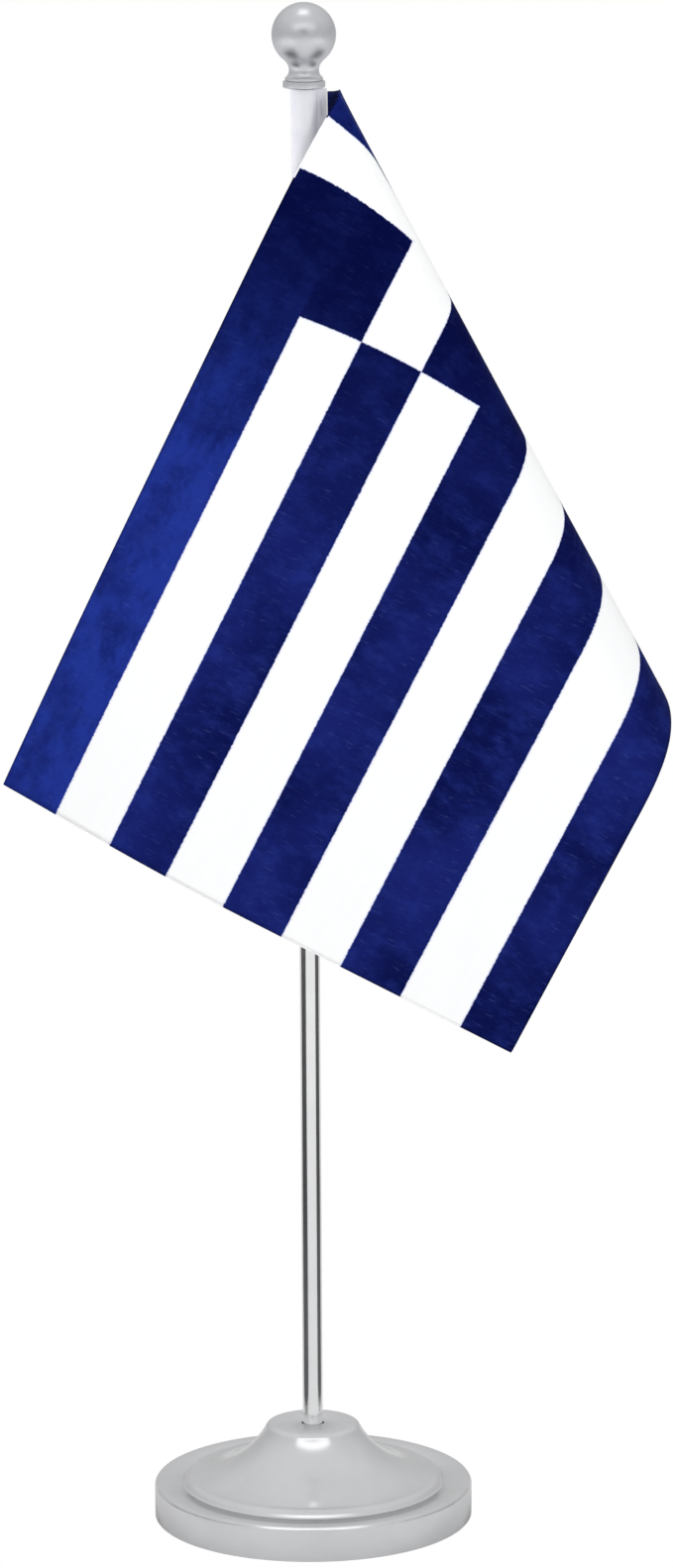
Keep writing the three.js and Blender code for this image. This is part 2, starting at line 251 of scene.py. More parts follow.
# %% [markdown]
# ## Metal finishes
# The base is bright plate over pressed steel, a little soft, so that lights spread over it. The pole is
# drawn tube with a mirror plate. The finial is hazier and greyer. One function makes them all from a
# colour, a roughness and the strength of the marks, and the haze drives roughness and a slight stain.
# The base also has a matt top on its hub, and a better polish where the plate steps down to the rim.

# %% Plate and metals
def use_group(tree, group, **inputs):
    return tree.node("ShaderNodeGroup", {"node_tree": group}, **inputs).outputs

def start_material(name, metallic=0.0, **sockets):
    material = bpy.data.materials.new(name)
    material.use_nodes = True
    tree = Tree(material.node_tree)
    shader = material.node_tree.nodes["Principled BSDF"]
    shader.inputs["Metallic"].default_value = metallic
    for label, value in sockets.items():
        shader.inputs[label.replace("_", " ")].default_value = value
    return material, tree, shader

def metal(name, colour, roughness, marks, fineness=60.0, bumps=0.02, stain=0.94, matt_above=None,
          polished=None):
    material, tree, shader = start_material(name, metallic=1.0)
    place = tree.node("ShaderNodeTexCoord").outputs["Object"]
    wear = use_group(tree, handling, Place=place, Fineness=fineness)
    dulled = [channel * stain for channel in colour]
    tree.set(shader, "Base Color", tree.mix(wear["Haze"], (*colour, 1), (*dulled, 1)))
    rough = tree.math("MULTIPLY_ADD", wear["Haze"], marks, roughness)
    rough = tree.math("MULTIPLY_ADD", wear["Scratches"], marks * 0.4, rough)
    if matt_above is not None:
        height = tree.node("ShaderNodeSeparateXYZ", Vector=place).outputs["Z"]
        rough = tree.math("ADD", rough, tree.ramp(height, matt_above - 0.0002, matt_above, 0.0, 0.3))
    if polished is not None:
        ring = tree.node("ShaderNodeVectorMath", {"operation": "LENGTH"},
                         in0=tree.stretch(place, (1.0, 1.0, 0.0))).outputs["Value"]
        off = tree.math("ABSOLUTE", tree.math("SUBTRACT", ring, polished))
        rough = tree.math("MULTIPLY", rough, tree.ramp(off, 0.0010, 0.0018, 0.8, 1.0))
    tree.set(shader, "Roughness", rough)
    bump = tree.node("ShaderNodeBump", Strength=bumps, Distance=0.0002, Height=wear["Scratches"])
    tree.set(shader, "Normal", bump.outputs[0])
    return material

base_plate = metal("base_plate", (0.80, 0.805, 0.82), roughness=0.17, marks=0.04,
                   matt_above=0.0235, polished=0.0312)
pole_plate = metal("pole_plate", (0.94, 0.945, 0.95), roughness=0.04, marks=0.03)
finial_plate = metal("finial_plate", (0.72, 0.73, 0.76), roughness=0.31, marks=0.05, fineness=220.0)
zinc = metal("zinc_steel", (0.5, 0.51, 0.53), roughness=0.35, marks=0.2, fineness=200.0, bumps=0.1)
brass = metal("turned_brass", (0.72, 0.56, 0.28), roughness=0.28, marks=0.15, fineness=200.0, bumps=0.1)
casting = metal("rough_casting", (0.2, 0.2, 0.21), roughness=0.6, marks=0.25, fineness=300.0, bumps=0.8)
print("metals:", [material.name for material in bpy.data.materials])

# %% [markdown]
# ## Foam and rubber
# The foam pad under the base and the rubber ring under the sleeve are both dark and dull. Foam shows
# open cells, which a fine Voronoi pattern gives as bumps, and the pits are painted darker as shade. Rubber
# is nearly smooth with a dusty bloom and the same painted shade in finer pits. Both are plain dielectrics,
# so only colour, roughness and bumps change over them.

# %% Soft dark materials
def dark_soft(name, colour, bloom, cells, depth):
    material, tree, shader = start_material(name, Specular_IOR_Level=0.3)
    place = tree.node("ShaderNodeTexCoord").outputs["Object"]
    pits = tree.node("ShaderNodeTexVoronoi", Vector=place, Scale=cells).outputs["Distance"]
    dust = tree.noise(place, 90.0, detail=4.0)
    # The dust bloom is kept off the pits, so the pit centres keep the dark colour: painted shade in the
    # cells.
    share = tree.math("MULTIPLY", tree.ramp(pits, 0.0, 0.7), tree.ramp(dust, 0.3, 0.8))
    tree.set(shader, "Base Color", tree.mix(share, (*colour, 1), (*bloom, 1)))
    tree.set(shader, "Roughness", tree.ramp(dust, 0.2, 0.8, 0.75, 0.95))
    bump = tree.node("ShaderNodeBump", Strength=0.6, Distance=depth, Height=pits)
    tree.set(shader, "Normal", bump.outputs[0])
    return material

foam = dark_soft("pad_foam", (0.012, 0.012, 0.013), (0.05, 0.05, 0.05), cells=1800.0, depth=0.0003)
rubber = dark_soft("ring_rubber", (0.012, 0.012, 0.014), (0.04, 0.04, 0.042), cells=5000.0,
                   depth=0.00005)
print("soft dark finishes:", foam.name, rubber.name)

# %% [markdown]
# ## Base
# The shell is pressed from sheet: an upright skirt, a flat rim, a step up to a raised plate, and a flare
# that rises to the hub where the pole goes in. Its outline is drawn once from the outside and
# moved inwards for the inside, so the wall is even, and the skirt's lower edge is left open to the pad.
# The rim's corner and the plate's edge both lean at one angle for a moment, so that both catch the
# same light as a bright line.

# %% Base shell
def edges(node):
    low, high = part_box(node)
    return np.array(low) / mm, np.array(high) / mm

shell_low, shell_high = edges("base_shell")
base_radius, hub_height, skirt_foot = shell_high[0], shell_high[2], shell_low[2]
rim_height = 9.1
plate_foot, plate_height = 31.6, 10.7
flare_radius, hub_radius = 28.6, 11.4
wall, pole_play = 0.8, 0.3

def shell_outline(hole):
    lean, groove, foot_bend, lip_bend = 32, 0.08, 0.4, 2.1
    outline = [(base_radius - 0.25, skirt_foot), (base_radius, skirt_foot + 0.3)]
    outline += arc((base_radius - 0.3, rim_height - 0.77), 0.3, 0, lean, 6)
    outline += arc((base_radius - 0.65, rim_height - 0.4), 0.4, lean, 90, 10)
    lip = plate_foot - 2.4
    outline += [(plate_foot + 2 * groove, rim_height), (plate_foot + groove, rim_height - groove)]
    outline += arc((plate_foot, rim_height + foot_bend), foot_bend, -90, lean - 180, 6)
    outline += arc((lip, plate_height - lip_bend), lip_bend, lean, 90, 14)
    crest = (hub_radius, hub_height - 1.05)
    outline += bend(
        (flare_radius, plate_height), (flare_radius - 9, plate_height + 1.2),
        (hub_radius + 2.2, hub_height - 5.4), crest, 28,
    )
    outline += bend(crest, (hub_radius - 0.35, hub_height - 0.35), (hub_radius - 0.9, hub_height),
                    (hub_radius - 2.24, hub_height), 10)
    return outline + [(hole + 0.3, hub_height), (hole, hub_height - 0.25)]

pole_low, pole_high = edges("pole_tube")
pole_radius = pole_high[0]
outside = shell_outline(pole_radius + pole_play)
inside = inset(outside, wall)
inside[0] = (base_radius - wall, skirt_foot)
inside[-1] = (pole_radius + pole_play, inside[-1][1])
base_shell = turned("base_shell_plated", outside + inside[::-1], base_plate, around=256, sharp=50)

# %% [markdown]
# The pad is a punched foam disc. Its edge is slightly crushed where the stand rests on it, so the
# outline bulges between a small upper and lower corner.

# %% Base pad
pad_radius, _, pad_height = edges("base_pad")[1]
crushed = 0.5
pad_outline = [(0, 0)] + arc((pad_radius - crushed, crushed), crushed, -90, 0, 5)
pad_outline += arc((pad_radius - crushed, pad_height - crushed), crushed, 0, 90, 5) + [(0, pad_height)]
base_pad = turned("base_pad_foam", pad_outline, foam, around=128, sharp=60)

# %% [markdown]
# ## Pole
# The pole is drawn tube. Its ends are deburred, which shows as a small chamfer where it stands in the
# hub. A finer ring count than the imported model's keeps the mirror reflections from breaking into facets.

# %% Pole
pole_foot, pole_top = pole_low[2], pole_high[2]
pole_bore, burr = pole_radius - 0.5, 0.12
pole_outline = [
    (pole_bore, pole_foot), (pole_radius - burr, pole_foot), (pole_radius, pole_foot + burr),
    (pole_radius, pole_top - burr), (pole_radius - burr, pole_top), (pole_bore, pole_top),
]
pole = turned("pole_plated", pole_outline, pole_plate, around=96)

# %% [markdown]
# ## Finial
# The ball and its waisted neck are turned in one piece, and sit on a flat collar with rounded edges.
# The seat of the ball is where the neck's curve meets the sphere, so the arc starts at that angle.

# %% Finial
ball_low, ball_high = edges("finial_ball")
ball_radius, seat_radius = ball_high[0], 5.2
neck_foot, neck_length = ball_low[2], 5.0
neck_low = edges("finial_collar")[1][2] + 0.02
ball_centre = ball_high[2] - ball_radius
neck_top = neck_foot + neck_length
bore, bore_top = 1.15, edges("finial_stud")[1][2] + 0.3
seat = math.degrees(math.atan2(neck_top - ball_centre, seat_radius))
finial_outline = [(0, bore_top), (bore, bore_top), (bore, neck_low), (4.25, neck_low)]
finial_outline += arc((4.2, neck_low + 0.25), 0.25, -60, 0, 4) + [(4.45, neck_foot + 0.25)]
finial_outline += arc((4.2, neck_foot + 0.3), 0.25, 0, 60, 4)
waist = (3.5, neck_foot + 2.2)
finial_outline += bend(
    (4.25, neck_foot + 0.55), (3.75, neck_foot + 0.95), (3.5, neck_foot + 1.5), waist, 8,
)
finial_outline += bend(
    waist, (3.5, neck_foot + 3.4), (4.3, neck_top - 0.7), (seat_radius, neck_top), 10,
)[1:]
finial_outline += arc((0, ball_centre), ball_radius, seat, 90, 48)[1:]
finial_outline[-1] = (0, ball_centre + ball_radius)
finial = turned("finial_ball_plated", finial_outline, finial_plate, around=160)

# %% [markdown]
# The collar is a thick disc with a small hole for the finial's stud. Its edges are rounded a little.

# %% Collar
collar_low, collar_high = edges("finial_collar")
collar_radius, soft, stud_hole = collar_high[0], 0.3, 1.3
collar_outline = [(stud_hole, collar_low[2])]
collar_outline += arc((collar_radius - soft, collar_low[2] + soft), soft, -90, 0, 5)
collar_outline += arc((collar_radius - soft, collar_high[2] - soft), soft, 0, 90, 5)
collar_outline += [(stud_hole, collar_high[2])]
collar = turned("finial_collar_plated", collar_outline, finial_plate, around=96)

# %% [markdown]
# ## How the flag hangs
# The cloth leaves the sleeve on the right, rolls round behind the pole's right side, and comes forward
# again over a long slanting fold. From there it falls across the front of the pole. Cloth bends but
# hardly stretches, so every crosswise thread is laid by its length: first a hidden curve from the seam
# to the fold, then a quarter turn of the roll, then a straight run down to the free end. Blender's Cloth
# could drape it instead. It was not tried here: one given fold is easier to steer by rule.

# %% Measures of the cloth
stripe = 15.56
flag_length, flag_drop = 13.5 * stripe, 8.83 * stripe
sleeve_low, sleeve_high = edges("flag_sleeve")
sleeve_top, seam_reach = sleeve_high[2], sleeve_high[0]
print("flat flag", round(flag_length, 1), "x", round(flag_drop, 1), "mm")

fold_dip = math.radians(62.3)
along_fold = np.array([math.cos(fold_dip), 0, -math.sin(fold_dip)])
across_fold = np.array([-math.sin(fold_dip), 0, -math.cos(fold_dip)])
forward = np.array([0, -1.0, 0])
front_clearance = 5.0
curl_start, curl_radius = -12.0, 150.0

def graded(constant, linear, square, share):
    return constant + linear * share + square * share * share

# %% [markdown]
# One thread is found in two parts. The hidden part is a Bezier curve that leaves the seam in one
# direction and meets the fold in another, and its reach is searched for until its length is right.
# The front part turns over the fold and then runs straight, with a slight sway near the top.

# %% One thread of the cloth
def hidden_points(start, leave, fold, arrive, reach, steps=240):
    t = np.linspace(0, 1, steps)[:, None]
    inner, outer = start + leave * reach, fold - arrive * reach
    weights = ((1 - t) ** 3, 3 * t * (1 - t) ** 2, 3 * t * t * (1 - t), t ** 3)
    return sum(weight * point for weight, point in zip(weights, (start, inner, outer, fold)))

def length_of(points):
    return np.concatenate([[0], np.cumsum(np.linalg.norm(np.diff(points, axis=0), axis=1))])

def curled(points):
    """The free side of the front layer bends back round an upright axis."""
    reach = np.maximum(curl_start - points[:, 0], 0)
    turn = reach / curl_radius
    points[:, 0] += reach - curl_radius * np.sin(turn)
    points[:, 1] += curl_radius * (1 - np.cos(turn))
    return points

def thread(share, hidden_steps, roll_steps, front_steps):
    """Points of one crosswise thread, and how far along the cloth each one is."""
    radius = graded(1.6, 9.0, 5.8, share)
    fall = math.radians(graded(26.5, 1.2, 0, share))
    front = np.array([-math.sin(fall), 0, -math.cos(fall)])
    top = sleeve_top - 0.8 * math.exp(-12 * share)
    fold = np.array([7.9, radius - front_clearance, top - 0.2])
    fold = fold + along_fold * graded(0, 161, 5, share)
    along, across = front @ along_fold, front @ across_fold
    start = np.array([seam_reach + 0.15, 0, top - flag_drop * share])
    back = graded(1.6, 5.6, 0, share) * stripe
    arrive = along_fold * along * share / (share + 0.15) + forward * across
    arrive /= np.linalg.norm(arrive)
    turned_out = math.radians(62 + 13 * math.exp(-8 * share))
    leave = np.array([math.cos(turned_out), math.sin(turned_out), -0.11 * math.exp(-8 * share)])
    low, high = 0.0, 2 * back
    for _ in range(30):
        reach = (low + high) / 2
        if length_of(hidden_points(start, leave, fold, arrive, reach))[-1] < back:
            low = reach
        else:
            high = reach
    curve = hidden_points(start, leave, fold, arrive, low)
    run = length_of(curve)
    wanted = np.linspace(0, run[-1], hidden_steps + 1)
    hidden = np.stack([np.interp(wanted, run, curve[:, k]) for k in range(3)], axis=1)
    roll = radius * math.pi / 2 / across
    straight = flag_length - back - roll
    beyond = np.concatenate([
        np.linspace(0, roll, roll_steps + 1)[1:],
        roll + np.linspace(0, straight, front_steps + 1)[1:],
    ])[:, None]
    rolled = np.minimum(beyond, roll)
    turn = rolled * across / radius
    visible = (
        fold + along_fold * along * rolled + across_fold * radius * (1 - np.cos(turn))
        + forward * radius * np.sin(turn) + front * (beyond - rolled)
    )
    sway = 2.4 * (1 - np.exp(-beyond / 18)) * np.exp(-beyond / 110) * math.exp(-6 * share)
    visible[:, :1] -= sway
    places = np.concatenate([wanted * back / run[-1], back + beyond[:, 0]])
    return np.concatenate([hidden, curled(visible)]), places

# %% [markdown]
# The threads are laid from the top of the cloth to its foot. Neighbours that came out much nearer or
# farther than on the flat cloth would mean a stretched flag, so their spacing is printed.

# %% All the threads
rows, columns = 110, (80, 40, 120)
shares = np.linspace(0, 1, rows + 1)
laid = [thread(share, *columns) for share in shares]
grid = np.array([points for points, _ in laid])
cloth_u = np.array([places for _, places in laid])
cloth_v = np.repeat(shares[:, None] * flag_drop, cloth_u.shape[1], axis=1)
flat_gap = np.hypot(np.diff(cloth_u, axis=0), flag_drop / rows)
stretch = np.linalg.norm(np.diff(grid, axis=0), axis=2) / flat_gap
print("gap between threads over the flat gap, at 1, 50 and 99 %:",
      np.round(np.percentile(stretch, [1, 50, 99]), 2))

# %% [markdown]
# ## Flag cloth
# The flag is a light satin polyester, printed through, so both faces show the same bands. The bands
# could be an image, but they are plain geometry, so a node group draws them from the flat cloth's own
# coordinates in metres. It is used twice: sharp for the colours, and wide for the pale fringe that
# the dye leaves where it creeps into the white.

# %% Pattern of the flag
flag_bands, tree, given, result = new_group(
    "flag_bands", {"Cloth": "Vector", "Band": "Float", "Softness": "Float"},
    {"White": "Float", "Canton": "Float", "First": "Float"},
)

def step_at(value, edge, softness):
    low = tree.math("SUBTRACT", edge, softness)
    return tree.ramp(value, low, tree.math("ADD", edge, softness))

split = tree.node("ShaderNodeSeparateXYZ", Vector=given["Cloth"])
across = tree.math("DIVIDE", split.outputs["X"], given["Band"])
down_cloth = tree.math("DIVIDE", split.outputs["Y"], given["Band"])
softness = tree.math("DIVIDE", given["Softness"], given["Band"])
shifted = tree.math("MAXIMUM", tree.math("SUBTRACT", down_cloth, 0.5), 0.0)
stripes = step_at(tree.math("PINGPONG", shifted, 1.0), 0.5, softness)
arms = []
for value in (across, down_cloth):
    off = tree.math("ABSOLUTE", tree.math("SUBTRACT", value, 2.5))
    arms.append(tree.math("SUBTRACT", 1.0, step_at(off, 0.5, softness)))
cross_white = tree.math("MAXIMUM", arms[0], arms[1])
canton = tree.math("SUBTRACT", 1.0, step_at(tree.math("MAXIMUM", across, down_cloth), 5.0, softness))
tree.set(result, "White", tree.math("ADD", tree.math("MULTIPLY", canton, cross_white),
         tree.math("MULTIPLY", tree.math("SUBTRACT", 1.0, canton), stripes)))
tree.set(result, "Canton", canton)
tree.set(result, "First", tree.math("SUBTRACT", 1.0, step_at(down_cloth, 1.0, softness)))

# %% [markdown]
# Printed satin is never one flat blue. The dye has streaks along the weft and soft blotches. On top, the
# blue is painted darker by the sleeve, as the shade of the roll, and lighter towards the free end, near
# the seam and along the first band, as painted light. The borders fray by a fraction of a millimetre, and
# the white keeps a faint trace of its threads.

# %% Flag finish
def flag_finish(name, unshaded_share=1.0):
    material, tree, shader = start_material(name, Specular_IOR_Level=0.02)
    cloth = tree.node("ShaderNodeUVMap", {"uv_map": "Cloth"}).outputs[0]
    threads = use_group(tree, weave, Cloth=cloth, Threads=2200.0)
    fray = tree.node("ShaderNodeTexNoise", Vector=cloth, Scale=1800.0, Detail=1.0).outputs["Color"]
    loose = tree.node("ShaderNodeVectorMath", {"operation": "MULTIPLY_ADD"},
                      in0=fray, in1=(0.0004, 0.0004, 0.0), in2=cloth).outputs["Vector"]
    loose = tree.node("ShaderNodeVectorMath", {"operation": "SUBTRACT"},
                      in0=loose, in1=(0.0002, 0.0002, 0.0)).outputs["Vector"]
    sharp = use_group(tree, flag_bands, Cloth=loose, Band=stripe * mm, Softness=0.00012)
    wide = use_group(tree, flag_bands, Cloth=loose, Band=stripe * mm, Softness=0.0006)
    streaks = tree.noise(tree.stretch(cloth, (1500.0, 260.0, 1.0)), 1.0, 4.0, 0.6)
    streaks = tree.ramp(streaks, 0.56, 0.80)
    blotches = tree.noise(tree.stretch(cloth, (190.0, 110.0, 1.0)), 1.0, 5.0, 0.7)
    blotches = tree.ramp(blotches, 0.42, 0.72)
    # Painted light and shade: the blue is darker by the sleeve and lighter towards the free end.
    away = tree.node("ShaderNodeSeparateXYZ", Vector=cloth).outputs["X"]
    free = tree.ramp(away, 3.6 * stripe * mm, 8.5 * stripe * mm)
    # A painted highlight lightens the blue within about two bands of the seam.
    corner_highlight = tree.ramp(away, 1.5 * stripe * mm, 2.6 * stripe * mm, 0.5, 0.0)
    free = tree.math("MAXIMUM", free, corner_highlight)
    patchy = tree.noise(tree.stretch(cloth, (70.0, 120.0, 1.0)), 1.0, 6.0, 0.7)
    patchy = tree.math("MULTIPLY", free, tree.ramp(patchy, 0.38, 0.62, 0.35, 1.0))
    # The first band is painted lighter in patches, as painted light.
    lit = tree.math("MULTIPLY", sharp["First"], patchy)
    tone = tree.ramp(tree.noise(cloth, 26.0, 2.0), 0.35, 0.65, 0.25, 1.0)
    # The darker blue is painted shade, the lighter blue painted light.
    shaded_blue, lit_blue = (0.0012, 0.0028, 0.044, 1), (0.0075, 0.0135, 0.130, 1)
    dye_and_painted_light = tree.mix(tree.math("MULTIPLY", free, tone), shaded_blue, lit_blue)
    dye_and_painted_light = tree.mix(lit, dye_and_painted_light, (0.0130, 0.0320, 0.265, 1))
    streaked = tree.math("MULTIPLY", streaks, tree.math("MULTIPLY_ADD", free, 0.26, 0.14))
    dye_and_painted_light = tree.mix(streaked, dye_and_painted_light, (0.06, 0.09, 0.30, 1))
    mottled = tree.math("MULTIPLY", blotches, tree.math("MULTIPLY_ADD", free, 0.25, 0.12))
    dye_and_painted_light = tree.mix(mottled, dye_and_painted_light, (0.018, 0.036, 0.26, 1))
    fringe = tree.math("MULTIPLY", tree.math("SUBTRACT", 1.0, wide["White"]), 0.9)
    pale = tree.mix(fringe, (0.93, 0.935, 0.94, 1), (0.28, 0.36, 0.85, 1))
    pale = tree.mix(tree.math("MULTIPLY", threads["Slub"], 0.04), pale, (0.70, 0.71, 0.75, 1))
    # Below 1, this share mixes the blue towards black: painted shade of the hem along the edge thread.
    dye_and_painted_light = tree.mix(1.0 - unshaded_share, dye_and_painted_light, (0.001, 0.001, 0.004, 1))
    tree.set(shader, "Base Color", tree.mix(sharp["White"], dye_and_painted_light, pale))
    tree.set(shader, "Roughness", tree.ramp(threads["Slub"], 0.0, 1.0, 0.62, 0.8))
    bump = tree.node("ShaderNodeBump", Strength=0.25, Distance=0.00005, Height=threads["Height"])
    tree.set(shader, "Normal", bump.outputs[0])
    return material

flag_satin = flag_finish("flag_satin_printed")
# The edge thread's blue gets painted hem shade.
flag_edge = flag_finish("flag_edge_overlocked", unshaded_share=0.45)
print("flag finishes:", flag_satin.name, flag_edge.name)

# %% [markdown]
# The threads now become one surface. A little unevenness is laid over it, because printed cloth that
# was ironed flat still keeps soft waves. It fades out at the sewn side, where the sleeve holds it.
# The cloth gets its real thickness, and its coordinates are kept as a UV map in metres.

# %% Flag cloth
def ripple(u, v):
    soft = np.sin(u / 23.0 + 1.3) * np.sin(v / 31.0 + 0.4) + 0.5 * np.sin(u / 11.0 - v / 17.0)
    return 0.16 * soft * np.clip((u - 40) / 60, 0, 1)

def surface_normals(points):
    along = np.gradient(points, axis=1)
    down = np.gradient(points, axis=0)
    normals = np.cross(along, down)
    return normals / np.linalg.norm(normals, axis=2, keepdims=True)

normals = surface_normals(grid)
grid = grid + normals * ripple(cloth_u, cloth_v)[..., None]

def store_cloth_map(piece, u, v):
    layer = piece.data.uv_layers.new(name="Cloth")
    which = np.zeros(len(piece.data.loops), int)
    piece.data.loops.foreach_get("vertex_index", which)
    flat = np.stack([u[which] * mm, v[which] * mm], axis=1)
    layer.data.foreach_set("uv", flat.ravel())

def grid_faces(high, wide):
    index = np.arange(high * wide).reshape(high, wide)
    corners = (index[:-1, :-1], index[1:, :-1], index[1:, 1:], index[:-1, 1:])
    return np.stack([c.ravel() for c in corners], axis=1).tolist()

thickness = 0.3
flag = new_piece("flag_cloth_printed", grid.reshape(-1, 3) * mm, grid_faces(*grid.shape[:2]),
                 flag_satin, sharp=60)

def printed_u(u, v):
    """Moves the crosswise borders a few mm, for print and drape that are not quite square."""
    down = v / stripe
    fade = np.clip(3 - down, 0, 1)
    second = fade * (0.4 - 4.3 * np.minimum(down, 1.3))
    third = 2.0 + fade * (0.6 - 1.1 * np.minimum(down, 2.0) ** 2)
    fifth = 2.0 + 1.2 * np.sin(math.pi * np.clip((down - 1) / 3, 0, 1))
    shift = 0.0
    for _ in range(8):
        place = (u + shift) / stripe
        shift = second + (third - second) * np.clip(place - 2, 0, 1)
        shift = shift + (fifth - third) * np.clip((place - 3) / 2, 0, 1)
    return u + shift

store_cloth_map(flag, printed_u(cloth_u, cloth_v).ravel(), cloth_v.ravel())
solid = flag.modifiers.new("thickness", "SOLIDIFY")
solid.thickness, solid.offset = thickness * mm, 0.0
print("cloth thickness", thickness, "mm")

# %% [markdown]
# The free edges are overlocked with a fine thread. It is a slim tube that follows the edge of the cloth
# and takes its colour from the same bands, with the blue painted darker as the shade of the hem, so it
# reads as a thin dark line along the blue bands.

# %% Tubes
def tube_mesh(path, radius, sides=8):
    path = np.asarray(path, float)
    along = np.gradient(path, axis=0)
    along /= np.linalg.norm(along, axis=1, keepdims=True)
    side = np.cross(along, [0.21, 0.93, 0.3])
    side /= np.linalg.norm(side, axis=1, keepdims=True)
    other = np.cross(along, side)
    radius = np.broadcast_to(radius, len(path))[:, None]
    rings = []
    for k in range(sides):
        angle = 2 * math.pi * k / sides
        rings.append(path + radius * (side * math.cos(angle) + other * math.sin(angle)))
    points = np.stack(rings, axis=1).reshape(-1, 3)
    faces = []
    for i in range(len(path) - 1):
        low, high = i * sides, (i + 1) * sides
        for k in range(sides):
            n = (k + 1) % sides
            faces.append((low + k, low + n, high + n, high + k))
    last = (len(path) - 1) * sides
    faces += [tuple(range(sides))[::-1], tuple(last + k for k in range(sides))]
    return points, faces

def joined(meshes):
    points, faces, start = [], [], 0
    for some_points, some_faces in meshes:
        points.append(some_points)
        faces += [tuple(start + i for i in face) for face in some_faces]
        start += len(some_points)
    return np.concatenate(points), faces

print("a tube of two rings has", len(tube_mesh([(0, 0, 0), (1, 0, 0)], 1)[1]), "faces")

# %% Overlocked edge
border = [(0, slice(None)), (slice(None), -1), (-1, slice(None, None, -1))]
edge_path = np.concatenate([grid[where] for where in border])
edge_u = np.concatenate([cloth_u[where] for where in border])
edge_v = np.concatenate([cloth_v[where] for where in border])
fresh = np.concatenate([[True], np.linalg.norm(np.diff(edge_path, axis=0), axis=1) > 1e-6])
edge_path, edge_u, edge_v = edge_path[fresh], edge_u[fresh], edge_v[fresh]
edge_sides, edge_radius = 8, 0.19
points, faces = tube_mesh(edge_path, edge_radius, edge_sides)
edging = new_piece("flag_edge_thread", points * mm, faces, flag_edge)
store_cloth_map(edging, np.repeat(np.clip(edge_u, 1, None), edge_sides),
                np.repeat(np.clip(edge_v, 0.6, None), edge_sides))

# %% [markdown]
# ## Sleeve
# The sleeve is a strip of white cloth, folded round the pole and sewn shut on the right together with the
# flag's edge. A little slack leaves soft creases along it. It is made as one closed cross-section
# that wanders slightly from height to height, with its bore kept clear of the pole.

# %% Sleeve cloth
def white_cloth(name, colour, shade):
    material, tree, shader = start_material(name, Specular_IOR_Level=0.2, Sheen_Weight=0.05)
    cloth = tree.node("ShaderNodeUVMap", {"uv_map": "Cloth"}).outputs[0]
    threads = use_group(tree, weave, Cloth=cloth, Threads=1500.0)
    stain = tree.ramp(tree.noise(cloth, 160.0, 4.0), 0.4, 0.8)
    tree.set(shader, "Base Color", tree.mix(stain, (*colour, 1), (*shade, 1)))
    tree.set(shader, "Roughness", tree.ramp(threads["Slub"], 0.0, 1.0, 0.7, 0.9))
    bump = tree.node("ShaderNodeBump", Strength=0.4, Distance=0.00006, Height=threads["Height"])
    tree.set(shader, "Normal", bump.outputs[0])
    return material

sleeve_white = white_cloth("sleeve_white", (0.56, 0.56, 0.60), (0.52, 0.52, 0.57))
thread_white = white_cloth("thread_white", (0.72, 0.72, 0.77), (0.62, 0.62, 0.68))
thread_grey = white_cloth("thread_grey", (0.60, 0.60, 0.65), (0.50, 0.50, 0.56))
print("white cloths:", sleeve_white.name, thread_white.name, thread_grey.name)

# %% [markdown]
# Each ring of the sleeve is a circle joined to a flat tab on the right, where the two layers are sewn
# together with the flag between them. Slow waves round it make the creases, and both hems stand
# out a little. The rings run down the outside and back up the bore, so the piece is closed.

# %% Sleeve
sleeve_bore, tab_half = pole_radius + 0.3, 0.42
sleeve_radius = sleeve_bore + 0.4
around_sleeve, up_sleeve = 96, 120

def sleeve_ring(share):
    """Outer outline of the sleeve at a share of its height, as radii at even angles, and heights."""
    angles = np.linspace(0, 2 * math.pi, around_sleeve, endpoint=False)
    x, y = np.cos(angles), np.sin(angles)
    slack = 0.10 * np.sin(3 * angles + 5 * share) + 0.06 * np.sin(5 * angles - 9 * share + 1.0)
    round_part = np.full(around_sleeve, sleeve_radius - 0.02)
    tab = np.where(x > 0.2, tab_half / np.maximum(np.abs(y), 1e-4), 0)
    tab = np.minimum(tab, (seam_reach - 0.1) / np.maximum(x, 0.2))
    blend = np.maximum(round_part, tab)
    hem = 0.12 * math.exp(-((1 - share) * 40) ** 2) + 0.08 * math.exp(-(share * 40) ** 2)
    off_tab = (x < 0.75) * 1.0
    return angles, blend + (slack - 0.10) * 0.5 * off_tab + hem * off_tab

def ring_at(angles, radii, height):
    return np.stack([radii * np.cos(angles), radii * np.sin(angles), np.full(len(angles), height)], axis=1)

def sleeve_mesh():
    heights = np.linspace(sleeve_high[2], sleeve_low[2], up_sleeve + 1)
    loops = []
    for row, height in enumerate(heights):
        angles, radii = sleeve_ring(1 - row / up_sleeve)
        loops.append(ring_at(angles, radii, height))
    loops += [ring_at(angles, sleeve_bore, height) for height in heights[::-1]]
    loops = np.array(loops)
    count = len(loops)
    faces = []
    for i in range(count):
        for k in range(around_sleeve):
            n, j = (k + 1) % around_sleeve, (i + 1) % count
            faces.append((i * around_sleeve + k, j * around_sleeve + k,
                          j * around_sleeve + n, i * around_sleeve + n))
    places = np.tile(angles * sleeve_radius, count)
    return loops.reshape(-1, 3), faces, places, loops[:, :, 2].reshape(-1)

points, faces, places, heights = sleeve_mesh()
sleeve = new_piece("flag_sleeve_sewn", points * mm, faces, sleeve_white, sharp=50)
store_cloth_map(sleeve, places, heights)

# %% [markdown]
# The sleeve is closed with one row of lock stitches on each face. They are modelled one by one, since
# a bump would not show from the side. Each stitch is a small thread that dips at both ends.

